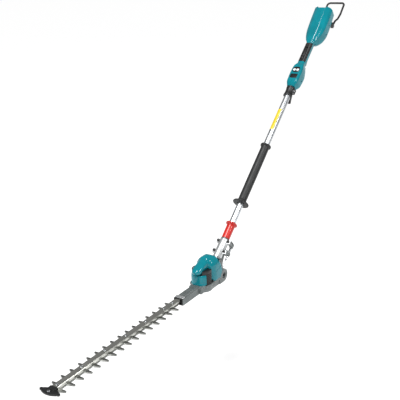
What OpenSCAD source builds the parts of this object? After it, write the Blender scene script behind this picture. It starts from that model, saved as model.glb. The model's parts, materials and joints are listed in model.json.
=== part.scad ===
// Articulating battery pole hedge trimmer, bare tool without its battery pack.
// Millimetres. The origin is on the shaft axis at the middle of the front grip.
// +X is the side of the pivot bolt's head, -Y is where the blades point and +Z is up.

/* [Head angle] */
// Angle between the shaft and the level blades
head_up = 40; // [30:1:45]
// Distance along the shaft from the front grip's middle to the pivot
grip_to_pivot = 403; // [395:1:440]
// Distance of the pivot bolt below the shaft axis
pivot_drop = 30; // [29:0.5:33]

/* [Shaft] */
// Outside diameter of the aluminium shaft
shaft_d = 24; // [24:0.5:25]
// Wall of the aluminium shaft
shaft_wall = 1.5; // [1.2:0.1:2]
// Length of the front grip
grip_l = 264; // [240:2:280]
// Outside diameter of the front grip at its middle
grip_d = 31; // [29:0.5:34]
// Length of the red release sleeve
sleeve_l = 64; // [56:1:70]
// Travel of the red release sleeve
sleeve_travel = 8; // [6:0.5:10]

/* [Blades] */
// Distance between two teeth on one side
tooth_pitch = 35; // [33:0.5:36]
// Teeth along each side of a blade
tooth_count = 16; // [12:1:16]
// Width of a blade across its tooth tips
blade_w = 65; // [60:1:72]
// Width of a blade's long strip
strip_w = 24; // [22:1:26]
// Thickness of one blade
blade_t = 2.2; // [1.8:0.1:2.4]
// Travel of each blade to either side of its middle
blade_travel = 9; // [7:0.5:9]

/* [Rear handle] */
// Half width of the rear hand grip
hand_half_w = 14.5; // [13:0.5:17]
// Half width of the battery housing
battery_half_w = 40; // [38:0.5:44]
// Wall of the moulded housings
wall = 2.5; // [2:0.1:3]
// Diameter of the wire guard's steel
guard_wire_d = 8; // [6:0.5:9]

/* [Hidden] */
$fn = 48;
eps = 0.01;

// ---- shaft and clamp, measured along the shaft from the pivot ----
tube_r = shaft_d / 2;
clamp_y0 = 45;
clamp_y1 = 118;
clamp_r = 16.5;
clamp_gap = 0.4;
flange_half_w = 26;
flange_t = 5;
lug_half_l = 6.5;
clamp_bolt_x = 20;
clamp_bolt_y = [70, 110];
arm_half_w = 14;
hub_r = 20;
hub_x0 = -20.6;
hub_x1 = 14.6;
sleeve_y0 = 122;
tube_y0 = 42;
tube_y1 = 925;

// ---- head pivot ----
pivot_r = 6;
running_gap = 0.05;
bush_r = 8.5;
ear_r = 23;
ear_x0 = 21;
ear_x1 = 36;
recess_r = 10.5;
recess_x = 29;
rod_x = 18;
rod_r = 3;
ring_r = 21;
ring_x0 = 15;
notch_step = 15;
notch_count = 10;
head_turn_up = 15;

// ---- gear case ----
gear_y = -85;
motor_y = -49;
case_r = 38;
case_half_w = 36;
case_back_y = -24;
case_top_z = 2;
case_bottom_z = -22;
cavity_r = 33;
cover_r = 32.5;
cavity_floor_z = -14.5;
nose_front_y = -230;
nose_half_w = 16.5;
nose_top_z = 3;
nose_bottom_z = -21;

// ---- blades and guide bar ----
upper_z = -9.2;
lower_z = upper_z - 0.3 - blade_t;
bar_z0 = upper_z + blade_t + 0.3;
bar_top_z = 2;
bar_y0 = -204;
bar_end_y = -812;
tongue_end_y = -840;
bar_w = 21;
first_tip_y = -805;
blade_end_y = -822;
tip_y = -830;
tip_screw_y = -834;
tongue_top_z = bar_z0 + 2.5;
bolt_spacing = 98;
bolt_y0 = -803;
bolt_count = 6;
rear_bolt_y = -266;
slot_r = 4;
sleeve_r = 3.5;
crank_offset = 9;
crank_pin_r = 5;
window_r = crank_offset + crank_pin_r + 0.5;
window_l = blade_travel + 0.2;

// ---- gears ----
gear_module = 1.5;
gear_teeth = 40;
pinion_teeth = 8;
gear_z0 = -4;
gear_z1 = 1.4;

// ---- motor ----
motor_shaft_r = 4;
stator_r = 27;
stator_z = [30, 58];
rotor_r = 14;
fan_r = 26;

// ---- rear handle, measured along the shaft from the origin ----
ctrl_y0 = 415;
grip_y0 = 540;
grip_y1 = 644;
end_y = 825;
bay_y = 780;
bay_half_w = 30;
bay_z = [-21, 23];
panel_z = 21;
mould_half_w = hand_half_w + 0.6;
mould_top_z = 14;
button_x = 6.8;
button_y = 490;
guard_x = 37;
terminal_half_w = 16;
terminal_z = [-12, 10];

// Frame of the shaft: local Y runs up the shaft, local Z is its upper side
module on_pole() rotate([head_up, 0, 0]) children();
// The same directions, counted from the pivot bolt
module on_pivot() on_pole() translate([0, -grip_to_pivot, -pivot_drop]) children();
// Frame of the level head, counted from the pivot bolt
module on_head() on_pivot() rotate([-head_up, 0, 0]) children();

module along_x(x0, x1, r) translate([x0, 0, 0]) rotate([0, 90, 0]) cylinder(r = r, h = x1 - x0);
module along_y(y0, y1, r) translate([0, y0, 0]) rotate([-90, 0, 0]) cylinder(r = r, h = y1 - y0);
module block(x, y, z) translate([x[0], y[0], z[0]]) cube([x[1] - x[0], y[1] - y[0], z[1] - z[0]]);
module tube_ring(r_in, r_out, h) difference() {
    cylinder(r = r_out, h = h);
    translate([0, 0, -1]) cylinder(r = r_in, h = h + 2);
}
// A hexagon-socket screw, head upwards, with its seat at z = 0
module cap_screw(r, head_r, head_h, l) {
    difference() {
        cylinder(r = head_r, h = head_h);
        translate([0, 0, head_h * 0.45]) cylinder(r = head_r * 0.55, h = head_h, $fn = 6);
    }
    translate([0, 0, -l]) cylinder(r = r, h = l + eps);
}

// ======================= shaft =======================
module pole_tube() color("silver") on_pole() difference() {
    along_y(tube_y0 - grip_to_pivot, tube_y1 - grip_to_pivot, tube_r);
    along_y(tube_y0 - grip_to_pivot - 1, tube_y1 - grip_to_pivot + 1, tube_r - shaft_wall);
}

module motor_cable() color("dimgray") on_pole()
    along_y(tube_y0 - grip_to_pivot + 4, tube_y1 - grip_to_pivot + 12, 4);

module front_grip() color("black") on_pole() rotate([-90, 0, 0]) {
    half = grip_l / 2;
    r = grip_d / 2;
    flange = 14.5;
    rotate_extrude() polygon([
        [tube_r, -half], [r + flange - 2, -half], [r + flange, -half + 1.5], [r + flange, -half + 4],
        [r + 3, -half + 8], [r, -half + 16], [r, half - 12], [r + 1.5, half - 8],
        [r + 5, half - 5], [r + 5, half - 1.5], [r + 3, half], [tube_r, half]
    ]);
}

module warning_band() color("gold") on_pole() intersection() {
    translate([0, 202, 0]) rotate([-90, 0, 0]) tube_ring(tube_r, tube_r + 0.3, 98);
    block([-11, 6], [190, 310], [0, 20]);
}

module clamp_upper() color("gainsboro") on_pivot() difference() {
    translate([0, 0, pivot_drop]) union() {
        intersection() {
            along_y(clamp_y0, clamp_y1, clamp_r);
            block([-30, 30], [0, 200], [clamp_gap, 30]);
        }
        for (y = clamp_bolt_y)
            block([-flange_half_w, flange_half_w], [y - lug_half_l, y + lug_half_l], [clamp_gap, flange_t]);
    }
    translate([0, 0, pivot_drop]) along_y(0, 200, tube_r);
    for (x = [-clamp_bolt_x, clamp_bolt_x], y = clamp_bolt_y)
        translate([x, y, 0]) cylinder(r = 2.75, h = 80);
}

module clamp_arm() color("gray") on_pivot() difference() {
    union() {
        intersection() {
            translate([0, 0, pivot_drop]) along_y(clamp_y0, clamp_y1, clamp_r);
            block([-30, 30], [0, 200], [0, pivot_drop]);
        }
        for (y = clamp_bolt_y)
            block([-flange_half_w, flange_half_w], [y - lug_half_l, y + lug_half_l],
                  [pivot_drop - flange_t, pivot_drop]);
        // nut bosses under the four screws
        for (x = [-clamp_bolt_x, clamp_bolt_x], y = clamp_bolt_y)
            translate([x, y, pivot_drop - 13]) cylinder(r = 6, h = 10);
        // arm from the pivot hub up to the shaft clamp
        translate([-arm_half_w, 0, 0]) rotate([90, 0, 90]) linear_extrude(2 * arm_half_w)
            polygon([[-12, 16], [-2, 20], [clamp_y0, pivot_drop], [72, pivot_drop], [72, 15],
                     [clamp_y0, 6], [16, -12]]);
        along_x(hub_x0, hub_x1, hub_r);
        // two guides for the lock rod
        for (y = [74, 107]) {
            translate([rod_x, 0, 0]) along_y(y, y + 10, 7.5);
            block([rod_x - 5, rod_x + 5], [y, y + 10], [0, pivot_drop - flange_t + 1]);
        }
    }
    translate([0, 0, pivot_drop]) along_y(20, 200, tube_r);
    along_x(-40, 40, pivot_r);
    translate([rod_x, 0, 0]) along_y(20, 200, rod_r + running_gap);
    for (x = [-clamp_bolt_x, clamp_bolt_x], y = clamp_bolt_y)
        translate([x, y, 10]) cylinder(r = 2.5, h = 40);
}

module clamp_screws() color("black") on_pivot()
    for (x = [-clamp_bolt_x, clamp_bolt_x], y = clamp_bolt_y)
        translate([x, y, pivot_drop + flange_t]) cap_screw(2.5, 4.5, 5, 17);

module pivot_bolt() color("dimgray") on_pivot() {
    along_x(-34, recess_x + 0.4, pivot_r);
    difference() {
        along_x(recess_x + 0.4, 34, 9);
        translate([31, 0, 0]) rotate([0, 90, 0]) cylinder(r = 5, h = 5, $fn = 6);
    }
}

module pivot_nut() color("dimgray") on_pivot() difference() {
    translate([-33, 0, 0]) rotate([0, 90, 0]) cylinder(r = 9.5, h = 33 - recess_x - 0.4, $fn = 6);
    along_x(-40, 0, pivot_r);
}

// Return spring of the lock rod: round wire wound between the two guides
module release_spring() color("silver") on_pivot() translate([rod_x, 84.5, 0]) rotate([-90, 0, 0]) {
    turns = 6;
    steps = 16;
    wire_r = 0.7;
    coil_r = 4.6;
    rise = 20 / (turns * steps);
    sides = 6;
    ring = [for (i = [0 : turns * steps], k = [0 : sides - 1])
        let (a = 360 * i / steps, b = 360 * k / sides, r = coil_r + wire_r * cos(b))
        [r * cos(a), r * sin(a), i * rise + 1 + wire_r * sin(b)]];
    last = turns * steps * sides;
    polyhedron(points = ring, faces = concat(
        [[for (k = [0 : sides - 1]) k]],
        [[for (k = [sides - 1 : -1 : 0]) last + k]],
        [for (i = [0 : turns * steps - 1], k = [0 : sides - 1])
            [i * sides + k, (i + 1) * sides + k, (i + 1) * sides + (k + 1) % sides,
             i * sides + (k + 1) % sides]]
    ), convexity = 20);
}

// ======================= angle release =======================
module red_sleeve() color("red") on_pivot() translate([0, sleeve_y0, pivot_drop]) rotate([-90, 0, 0])
    rotate_extrude() polygon([
        [tube_r + 0.3, 0], [14.6, 0], [14.6, sleeve_l - 12], [15.6, sleeve_l - 8],
        [21, sleeve_l - 5], [21, sleeve_l - 1.5], [19.5, sleeve_l], [tube_r + 0.3, sleeve_l]
    ]);

module release_link() color("dimgray") on_pivot() difference() {
    union() {
        translate([0, 0, pivot_drop]) along_y(sleeve_y0 - 3, sleeve_y0, 15.5);
        block([rod_x - 7, rod_x + 5], [sleeve_y0 - 3, sleeve_y0], [-5, pivot_drop - 8]);
    }
    translate([0, 0, pivot_drop]) along_y(0, 200, tube_r + 0.3);
    translate([rod_x, 0, 0]) along_y(100, 150, rod_r);
}

module lock_rod() color("silver") on_pivot() translate([rod_x, 0, 0]) {
    along_y(30, sleeve_y0 + 3, rod_r);
    block([-2.6, 2.6], [ring_r + 0.5, 31], [-1.5, 1.5]);
}

// ======================= strap hanger =======================
module hanger_clamp() color("black") on_pole() difference() {
    union() {
        along_y(372, 411, tube_r + 4);
        along_y(372, 377, tube_r + 5.5);
        along_y(406, 411, tube_r + 5.5);
        translate([-5, 0, 0]) rotate([90, 0, 90]) linear_extrude(10)
            polygon([[362, -33], [370, -33], [398, -22], [398, -tube_r], [384, -tube_r], [362, -24]]);
        translate([0, 366, -28]) along_x(-5, 5, 7);
        block([tube_r, tube_r + 12], [384, 404], [-4, 4]);
    }
    along_y(360, 420, tube_r);
    block([tube_r - 2, tube_r + 20], [360, 420], [-0.8, 0.8]);
    translate([0, 366, -28]) along_x(-10, 10, 4);
    translate([tube_r + 8, 394, -10]) cylinder(r = 2.2, h = 20);
}

module hanger_screw() color("silver") on_pole() translate([tube_r + 8, 394, 4])
    cap_screw(2.2, 3.8, 4, 9);

// ======================= rear handle =======================
// One cross-section of the handle: eight corners at station s[0] along the shaft.
// s = [station, half width, top, bottom, corner cut]; inset moves all walls inwards
function section(s, inset) =
    let (w = s[1] - inset, t = s[2] - inset, b = s[3] + inset, c = s[4])
    [[w - c, s[0], t], [w, s[0], t - c], [w, s[0], b + c], [w - c, s[0], b],
     [c - w, s[0], b], [-w, s[0], b + c], [-w, s[0], t - c], [c - w, s[0], t]];

module loft(sections, inset = 0) {
    n = len(sections);
    polyhedron(points = [for (s = sections) each section(s, inset)], faces = concat(
        [[for (k = [0 : 7]) k]],
        [[for (k = [7 : -1 : 0]) (n - 1) * 8 + k]],
        [for (i = [0 : n - 2], k = [0 : 7])
            [i * 8 + k, (i + 1) * 8 + k, (i + 1) * 8 + (k + 1) % 8, i * 8 + (k + 1) % 8]]
    ), convexity = 10);
}

handle_sections = [
    [ctrl_y0, 16, 15, -16, 6], [440, 23, panel_z, -30, 7], [480, 24, panel_z, -33, 7],
    [512, 21, panel_z, -25, 7], [grip_y0, hand_half_w, 13, -15, 6],
    [grip_y1, hand_half_w, 13, -15, 6], [662, 22, 17, -27, 8], [706, 36, 23, -40, 12],
    [770, battery_half_w, 30, -38, 14], [end_y, battery_half_w - 2, 34, -32, 14]
];
cavity_sections = [
    [ctrl_y0 + 3, 16, 15, -16, 5], [440, 23, panel_z, -30, 7], [480, 24, panel_z, -33, 7],
    [512, 21, panel_z, -25, 7], [grip_y0, hand_half_w, 13, -15, 5],
    [grip_y1, hand_half_w, 13, -15, 5], [662, 22, 17, -27, 8], [706, 36, 23, -40, 12],
    [766, battery_half_w, 30, -38, 14], [bay_y - 3, battery_half_w, 30, -38, 14]
];

// Both shells together, before they are parted at X = 0
module handle_body() difference() {
    loft(handle_sections);
    loft(cavity_sections, wall);
    along_y(400, 430, tube_r);
    // battery bay, open at the end, and the slot of its terminal block
    block([-bay_half_w, bay_half_w], [bay_y, 840], bay_z);
    block([-24, 24], [end_y - 5, 840], [0, 50]);
    block([-terminal_half_w, terminal_half_w], [bay_y - 10, bay_y + 1], terminal_z);
    // openings for the panels, the buttons, the lever and the trigger
    block([-15, 15], [478, 506], [panel_z - 1.5, 30]);
    block([-13.5, 13.5], [480, 500], [0, 30]);
    block([-15, 15], [449, 470], [panel_z - 1.5, 30]);
    block([-20, 20], [grip_y0 + 3, grip_y1 - 3], [5, 20]);
    block([-7, 7], [546, 604], [-40, 0]);
}
module half_space(side) block(side > 0 ? [0, 90] : [-90, 0], [380, 900], [-90, 90]);

module handle_shell_left() color("teal") on_pole() intersection() {
    handle_body();
    half_space(-1);
}
module handle_shell_right() color("teal") on_pole() difference() {
    union() {
        intersection() {
            handle_body();
            half_space(1);
        }
        shell_screw_bosses();
    }
    shell_screw_holes();
}

// Shell screws: depth of the head's seat from X = 0, and the place along and above the shaft
shell_screw_places = [[19, 460, -12], [14, 525, -12], [13, 650, -9], [32, 720, -22], [35, 762, -12]];
boss_l = 6;
// A blind boss behind each screw's head, and the hole that the screw fills
module shell_screw_bosses() for (p = shell_screw_places)
    translate([0, p[1], p[2]]) along_x(p[0] - boss_l, p[0] + 0.4, 3.9);
module shell_screw_holes() for (p = shell_screw_places) translate([0, p[1], p[2]]) {
    along_x(p[0] - boss_l + 1, p[0] + 1, 1.8);
    along_x(p[0], p[0] + 12, 3.4);
}
module shell_screws() color("black") on_pole() for (p = shell_screw_places)
    translate([p[0], p[1], p[2]]) rotate([0, 90, 0]) cap_screw(1.75, 3.2, 3, boss_l - 1.5);

module grip_overmould() color("black") on_pole() difference() {
    rotate([-90, 0, 0]) translate([0, 0, grip_y0 + 3.3]) linear_extrude(grip_y1 - grip_y0 - 6.6)
        polygon([[-mould_half_w, -5.2], [mould_half_w, -5.2], [mould_half_w, -8],
                 [8.5, -mould_top_z], [-8.5, -mould_top_z], [-mould_half_w, -8]]);
    block([-11.5, 11.5], [grip_y0, grip_y1], [0, 10.5]);
    block([-5.2, 5.2], [551.5, 618.5], [0, 20]);
}

module control_panel() color("black") on_pole() difference() {
    block([-14.8, 14.8], [478.2, 505.8], [panel_z - 1.3, panel_z + 0.6]);
    for (x = [-button_x, button_x]) translate([x, button_y, 0]) cylinder(r = 5.8, h = 30);
}
module display_panel() color("black") on_pole()
    block([-14.8, 14.8], [449.2, 469.8], [panel_z - 1.3, panel_z + 0.2]);

module push_button(x) on_pole() translate([x, button_y, 0]) {
    translate([0, 0, panel_z - 2]) cylinder(r = 5.5, h = 3.8);
    translate([0, 0, panel_z - 4]) cylinder(r = 6.4, h = 2.2);
    translate([0, 0, panel_z - 7.5]) cylinder(r = 2, h = 4);
}
module power_button() color("whitesmoke") push_button(-button_x);
module reverse_button() color("whitesmoke") push_button(button_x);

trigger_pivot = [550, -7];
lever_pivot = [612, 6.5];
module trigger() color("black") on_pole() difference() {
    translate([-6, 0, 0]) rotate([90, 0, 90]) linear_extrude(12)
        polygon([[546.5, -3.5], [556, -3.5], [598, -9], [599, -17], [590, -22], [572, -24],
                 [556, -28], [549, -25], [546.5, -15]]);
    translate([0, trigger_pivot[0], trigger_pivot[1]]) along_x(-10, 10, 1.5 + running_gap);
}
module trigger_pin() color("silver") on_pole()
    translate([0, trigger_pivot[0], trigger_pivot[1]]) along_x(-11.4, 11.4, 1.5);

module lock_off_lever() color("black") on_pole() difference() {
    translate([-4.4, 0, 0]) rotate([90, 0, 90]) linear_extrude(8.8)
        polygon([[553, 8.5], [553, 15], [557, 18.5], [565, 19], [571, 16.5], [577, 17.5],
                 [590, 17], [610, 15.5], [616, 13], [616, 4], [608, 4], [600, 9]]);
    translate([0, lever_pivot[0], lever_pivot[1]]) along_x(-10, 10, 1.5 + running_gap);
}
module lever_pin() color("silver") on_pole()
    translate([0, lever_pivot[0], lever_pivot[1]]) along_x(-11.4, 11.4, 1.5);

module trigger_switch() color("dimgray") on_pole() {
    block([-8, 8], [608, 638], [-12, -1]);
    block([-3, 3], [604, 608], [-9, -5]);
}
module controller_board() color("darkgreen") on_pole() {
    block([-18, 18], [690, 760], [-22, -20]);
    block([-14, 14], [700, 750], [-20, -12]);
}
module terminal_block() color("dimgray") on_pole() {
    block([-terminal_half_w, terminal_half_w], [bay_y - 8, bay_y + 3], terminal_z);
    for (x = [-10, -3.5, 3.5, 10]) block([x - 0.6, x + 0.6], [bay_y + 3, bay_y + 12], [-8, 6]);
}
module battery_rails() color("silver") on_pole() for (side = [-1, 1])
    translate([side * (bay_half_w - 1.6), 0, 0]) block([-1.6, 1.6], [bay_y, end_y - 6], [9, 13]);

// Wire guard: two bent legs and a crossbar beyond the battery bay
guard_path = [[788, -42], [822, -47], [848, -60], [881, -66], [942, -62]];
module guard_rod(a, b) {
    d = b - a;
    translate([0, a[0], a[1]]) rotate([atan2(d[1], d[0]), 0, 0]) along_y(0, norm(d), guard_wire_d / 2);
}
module wire_guard() color("black") on_pole() {
    last = len(guard_path) - 1;
    for (side = [-1, 1]) translate([side * guard_x, 0, 0]) {
        for (i = [0 : last - 1]) guard_rod(guard_path[i], guard_path[i + 1]);
        // knuckles at the bends, a little thicker than the wire
        for (i = [1 : last]) translate([0, guard_path[i][0], guard_path[i][1]])
            sphere(r = guard_wire_d / 2 + 0.3);
    }
    translate([0, guard_path[last][0], guard_path[last][1]])
        along_x(-guard_x, guard_x, guard_wire_d / 2);
}
module guard_clamps() color("black") on_pole() difference() {
    for (side = [-1, 1]) translate([side * guard_x, 0, 0]) block([-6, 6], [782, 794], [-47, -26]);
    loft(handle_sections);
    for (side = [-1, 1]) translate([side * guard_x, 0, 0]) guard_rod(guard_path[0], guard_path[1]);
}

// ======================= head =======================
module case_outline(r, w, back) {
    translate([0, gear_y]) circle(r = r);
    translate([-w, gear_y]) square([2 * w, back - gear_y]);
}

module gear_case() color("gray") on_head() difference() {
    union() {
        translate([0, 0, case_bottom_z]) linear_extrude(18) case_outline(case_r - 2.5, 33.5, case_back_y);
        translate([0, 0, -4.5]) linear_extrude(case_top_z + 4.5) case_outline(case_r, case_half_w, case_back_y);
        for (p = housing_screw_places) translate([p[0], p[1], -4.5]) cylinder(r = 5, h = case_top_z + 4.5);
        // nose that carries the guide bar, with ribs along its top
        block([-nose_half_w, nose_half_w], [nose_front_y, gear_y - 20], [nose_bottom_z, nose_top_z - 2]);
        block([-13.5, 13.5], [nose_front_y, gear_y - 37.5], [nose_bottom_z, nose_top_z]);
        block([-24, 24], [gear_y - 46, gear_y - 20], [nose_bottom_z, nose_top_z - 3]);
        for (x = [-11, -3.7, 3.7, 11])
            block([x - 1.5, x + 1.5], [nose_front_y + 18, gear_y - 39], [0, nose_top_z + 1.6]);
        for (side = [-1, 1]) {
            x0 = side > 0 ? ear_x0 : -ear_x1;
            along_x(x0, x0 + ear_x1 - ear_x0, ear_r);
            block([x0, x0 + ear_x1 - ear_x0], [case_back_y - 4, 0], [-ear_r, case_top_z]);
        }
    }
    // gearbox cavity, open on top
    translate([0, 0, cavity_floor_z]) linear_extrude(40) case_outline(cavity_r, 20, -38);
    // slot for the two blades, wider in front for the guide bar
    block([-13.5, 13.5], [bar_y0 - 1, gear_y], [cavity_floor_z, bar_z0 - 0.1]);
    block([-13.5, 13.5], [nose_front_y - 10, bar_y0], [cavity_floor_z, bar_top_z]);
    // pivot
    along_x(-50, 50, bush_r);
    for (side = [-1, 1]) along_x(side > 0 ? recess_x : -50, side > 0 ? 50 : -recess_x, recess_r);
    // room for the arm's hub between the ears
    along_x(-ear_x0, ear_x0, ear_r);
    for (p = housing_screw_places) translate([p[0], p[1], -6]) cylinder(r = 1.8, h = 20);
}
housing_screw_places = [[-30, -106], [30, -106], [-33, -70], [33, -70], [-31, -30], [31, -30]];

// Room for the gear case cover's round edge in the parts that stand over it
module cover_room() translate([0, gear_y, 0]) cylinder(r = cover_r + 0.3, h = case_top_z + 3.2);

module gear_case_cover() color("gray") on_head() difference() {
    union() {
        translate([0, 0, case_top_z]) linear_extrude(3) case_outline(cover_r, 22, -30);
        translate([0, motor_y, case_top_z]) cylinder(r = 14, h = 13);
        translate([0, gear_y, case_top_z]) cylinder(r = 13, h = 11);
    }
    translate([0, motor_y, 0]) cylinder(r = 8, h = 30);
    translate([0, motor_y, 8]) cylinder(r = 11, h = 30);
    translate([0, gear_y, 0]) cylinder(r = 7, h = 30);
    translate([0, gear_y, 5]) cylinder(r = 9.5, h = 30);
}

module nose_cap() color("gainsboro") on_head() difference() {
    block([-15.5, 15.5], [nose_front_y + 0.5, nose_front_y + 15], [nose_top_z, nose_top_z + 2.6]);
    for (x = [-9, 9]) translate([x, nose_front_y + 8, 0]) cylinder(r = 2, h = 20);
}
module nose_seal() color("black") on_head() difference() {
    block([-16, 16], [nose_front_y - 4, nose_front_y], [-19, nose_top_z + 0.5]);
    block([-13.4, 13.4], [nose_front_y - 10, nose_front_y + 5], [cavity_floor_z, bar_top_z + 0.3]);
}

// Notched ring: one notch for each head angle
module lock_ring() color("silver") on_head() difference() {
    along_x(ring_x0, ear_x0, ring_r);
    along_x(0, 40, bush_r);
    for (i = [0 : notch_count - 1])
        rotate([head_up + head_turn_up - notch_step * i, 0, 0])
            block([ring_x0 - 1, ear_x0 + 1], [ring_r - 3.5, ring_r + 3], [-1.8, 1.8]);
}
module pivot_bushes() color("goldenrod") on_head() for (side = [-1, 1])
    difference() {
        along_x(side > 0 ? ear_x0 : -recess_x, side > 0 ? recess_x : -ear_x0, bush_r);
        along_x(-50, 50, pivot_r + running_gap);
    }

// Side outlines of the motor housing's body and of the snout that reaches over the gears
module housing_side() polygon([
    [-8, 24], [-10, 36], [-16, 50], [-22, 58], [-23, 68], [-28, 78], [-38, 85], [-50, 88],
    [-62, 87], [-76, 80], [-76, case_top_z], [-8, case_top_z]
]);
module snout_side() polygon([
    [-70, 84], [-76, 80], [-96, 72], [-116, 65], [-128, 59], [-133, 52], [-131, 45], [-124, 41],
    [-100, 40], [-70, 40]
]);
// Front outlines of the same two, and their outlines from above
module housing_front() polygon([
    [37, 0], [37, 50], [35.5, 60], [31, 69], [24, 77], [14, 84], [4, 88],
    [-4, 88], [-14, 84], [-24, 77], [-31, 69], [-35.5, 60], [-37, 50], [-37, 0]
]);
module snout_front() polygon([
    [18, 0], [18, 66], [16, 74], [10, 81], [3, 84], [-3, 84], [-10, 81], [-16, 74], [-18, 66],
    [-18, 0]
]);
module housing_above() polygon([
    [37, -8], [37, -54], [31, -69], [22, -76], [-22, -76], [-31, -69], [-37, -54], [-37, -8]
]);
module snout_above() union() {
    translate([0, -115]) circle(r = 18);
    translate([-18, -115]) square([36, 60]);
}
module side_solid(half) translate([-half, 0, 0]) rotate([90, 0, 90]) linear_extrude(2 * half) children();
module motor_housing() color("teal") on_head() difference() {
    union() {
        intersection() {
            side_solid(50) housing_side();
            rotate([90, 0, 0]) linear_extrude(140) housing_front();
            linear_extrude(110) housing_above();
        }
        intersection() {
            side_solid(50) snout_side();
            rotate([90, 0, 0]) linear_extrude(140) snout_front();
            linear_extrude(110) snout_above();
        }
    }
    // room for the arm and the shaft clamp, which stand behind the housing
    block([-22, 22], [-22.5, 0], [0, 110]);
    along_x(-50, 50, ear_r + 0.2);
    cover_room();
    translate([0, motor_y, -1]) cylinder(r = fan_r + 1, h = 17.5);
    translate([0, motor_y, 15]) cylinder(r = 27.5, h = 47);
    translate([0, motor_y, 62]) cylinder(r = 11, h = 9);
    block([-26, 26], [-79, -30], [-1, 16]);
    for (p = housing_screw_places) if (p[1] > -100) translate([p[0], p[1], 0]) {
        cylinder(r = 1.9, h = 20);
        translate([0, 0, 6]) cylinder(r = 3.4, h = 90);
    }
}

module lower_cover() color("teal") on_head() difference() {
    intersection() {
        translate([0, gear_y, case_top_z]) cylinder(r = 36.5, h = 33);
        block([-20, 20], [-130, -108], [0, 40]);
    }
    translate([0, gear_y, -1]) cylinder(r = 33, h = 33);
}
module vent_frame() color("black") on_head() difference() {
    intersection() {
        translate([0, gear_y, case_top_z]) cylinder(r = 34, h = 50);
        block([-40, 40], [-130, -76.4], [0, 90]);
    }
    translate([0, gear_y, 0]) cylinder(r = 31, h = 49);
    cover_room();
    block([-20.4, 20.4], [-130, -100], [0, 35.4]);
    block([-18.4, 18.4], [-140, -60], [39.6, 100]);
    // louvres
    for (z = [8 : 6 : 40]) difference() {
        translate([0, gear_y, z]) cylinder(r = 40, h = 3);
        translate([0, gear_y, z - 1]) cylinder(r = 32.7, h = 5);
    }
    for (p = housing_screw_places) translate([p[0], p[1], 0]) cylinder(r = 3.4, h = 80);
}
module housing_screws() color("black") on_head() for (p = housing_screw_places)
    translate([p[0], p[1], abs(p[1]) > 100 ? case_top_z : 6]) cap_screw(1.8, 3.2, 3.5, 8);

// ======================= motor and gears =======================
module at_motor() on_head() translate([0, motor_y, 0]) children();

module stator() color("peru") at_motor() translate([0, 0, stator_z[0]])
    tube_ring(rotor_r + 0.8, stator_r, stator_z[1] - stator_z[0]);
module rotor() color("dimgray") at_motor() translate([0, 0, stator_z[0] + 1])
    tube_ring(motor_shaft_r, rotor_r, stator_z[1] - stator_z[0] - 2);
module motor_bearings() color("silver") at_motor() {
    translate([0, 0, 8]) tube_ring(motor_shaft_r + running_gap, 11, 7);
    translate([0, 0, 64]) tube_ring(motor_shaft_r + running_gap, 11, 7);
}
module cooling_fan() color("darkgray") at_motor() {
    translate([0, 0, 17]) tube_ring(motor_shaft_r, 11, 10);
    translate([0, 0, 17]) tube_ring(11, fan_r - 1.5, 1.5);
    for (i = [0 : 8]) rotate([0, 0, 40 * i])
        block([10, fan_r - 2], [-0.8, 0.8], [18, 25]);
}
// A spur gear's outline: straight-sided teeth with backlash
module gear_outline(teeth, phase) {
    pitch_r = gear_module * teeth / 2;
    root_r = pitch_r - 1.25 * gear_module;
    tip_r = pitch_r + 0.85 * gear_module;
    step = 360 / teeth;
    circle(r = root_r);
    for (i = [0 : teeth - 1]) rotate(phase + i * step) polygon([
        [root_r - 0.5, -0.3 * step / 90 * root_r * PI / 2 * 0.95], [tip_r, -0.34],
        [tip_r, 0.34], [root_r - 0.5, 0.3 * step / 90 * root_r * PI / 2 * 0.95]]);
}
module motor_shaft() color("silver") at_motor() {
    translate([0, 0, gear_z0]) cylinder(r = motor_shaft_r - eps, h = 75);
    translate([0, 0, gear_z0]) linear_extrude(gear_z1 - gear_z0) gear_outline(pinion_teeth, -90);
}
module crank_gear() color("silver") on_head() translate([0, gear_y, 0]) {
    translate([0, 0, gear_z0]) linear_extrude(gear_z1 - gear_z0)
        gear_outline(gear_teeth, 90 + 180 / gear_teeth);
    translate([0, 0, gear_z0]) cylinder(r = 5, h = 15);
    // crank pins, half a turn apart: the longer one reaches the lower blade
    translate([crank_offset, 0, upper_z]) cylinder(r = crank_pin_r, h = gear_z0 - upper_z + eps);
    translate([-crank_offset, 0, lower_z]) cylinder(r = crank_pin_r, h = gear_z0 - lower_z + eps);
}
module crank_bearing() color("silver") on_head() translate([0, gear_y, 5])
    tube_ring(5 + running_gap, 9.5, 6);

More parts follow.
